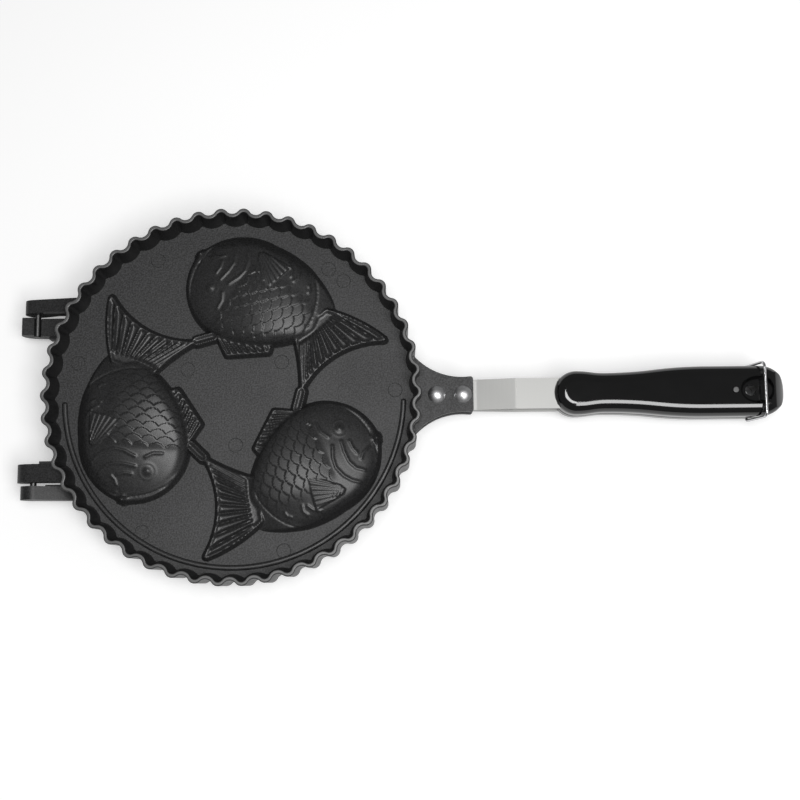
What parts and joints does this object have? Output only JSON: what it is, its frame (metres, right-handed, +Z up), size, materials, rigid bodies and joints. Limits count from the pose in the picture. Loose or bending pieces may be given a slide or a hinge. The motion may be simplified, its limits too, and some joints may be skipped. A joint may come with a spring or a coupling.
{
  "type": "fish cake maker",
  "caption": "Hinged two-sided stovetop mould for fish-shaped filled cakes: fluted round pans, riveted straps, two grips and a wire clip that holds them shut.",
  "frame": {"origin": "on the pan's axis, level with the edge of the lower rim, where the maker stands over the burner's centre", "axes": "+X from the hinge to the grips, +Y across, +Z up; at rest the maker is closed with its parting plane level"},
  "size_m": [0.4088, 0.1996, 0.036],
  "materials": {
    "cast_pan": "cast aluminium with a dark satin non-stick coating, faintly grained",
    "strap_steel": "bent stainless strip, fine brushed",
    "rivet_metal": "polished domed rivet heads",
    "pin_steel": "plain drawn steel pin",
    "grip_plastic": "black heat-resistant moulding, glossy",
    "clip_wire": "bright bent steel wire"
  },
  "bodies": {
    "lower_half": {"lower_plate": "cast_pan", "lower_mould_front": "cast_pan", "lower_mould_back": "cast_pan", "lower_mould_left": "cast_pan", "lower_rim": "cast_pan", "lower_tab": "cast_pan", "lower_ear": "cast_pan", "lower_hook": "cast_pan", "lower_hinge_pin": "pin_steel", "lower_strap": "strap_steel", "lower_rivet_inner": "rivet_metal", "lower_rivet_outer": "rivet_metal", "lower_grip": "grip_plastic", "lower_grip_pin": "pin_steel"},
    "upper_half": {"upper_plate": "cast_pan", "upper_mould_front": "cast_pan", "upper_mould_back": "cast_pan", "upper_mould_left": "cast_pan", "upper_rim": "cast_pan", "upper_tab": "cast_pan", "upper_ear": "cast_pan", "upper_hook": "cast_pan", "upper_hinge_pin": "pin_steel", "upper_strap": "strap_steel", "upper_rivet_inner": "rivet_metal", "upper_rivet_outer": "rivet_metal", "upper_grip": "grip_plastic", "upper_grip_pin": "pin_steel"},
    "clip": {"wire_clip": "clip_wire"}
  },
  "joints": [
    {"name": "lid_hinge", "type": "hinge", "parent": "lower_half", "child": "upper_half", "pos_m": [-0.107, 0, 0.018], "axis": [0, -1, 0], "range_deg": [0, 180]},
    {"name": "clip_swing", "type": "hinge", "parent": "lower_half", "child": "clip", "pos_m": [0.2754, 0, 0.0118], "axis": [0, 1, 0], "range_deg": [0, 100]}
  ]
}
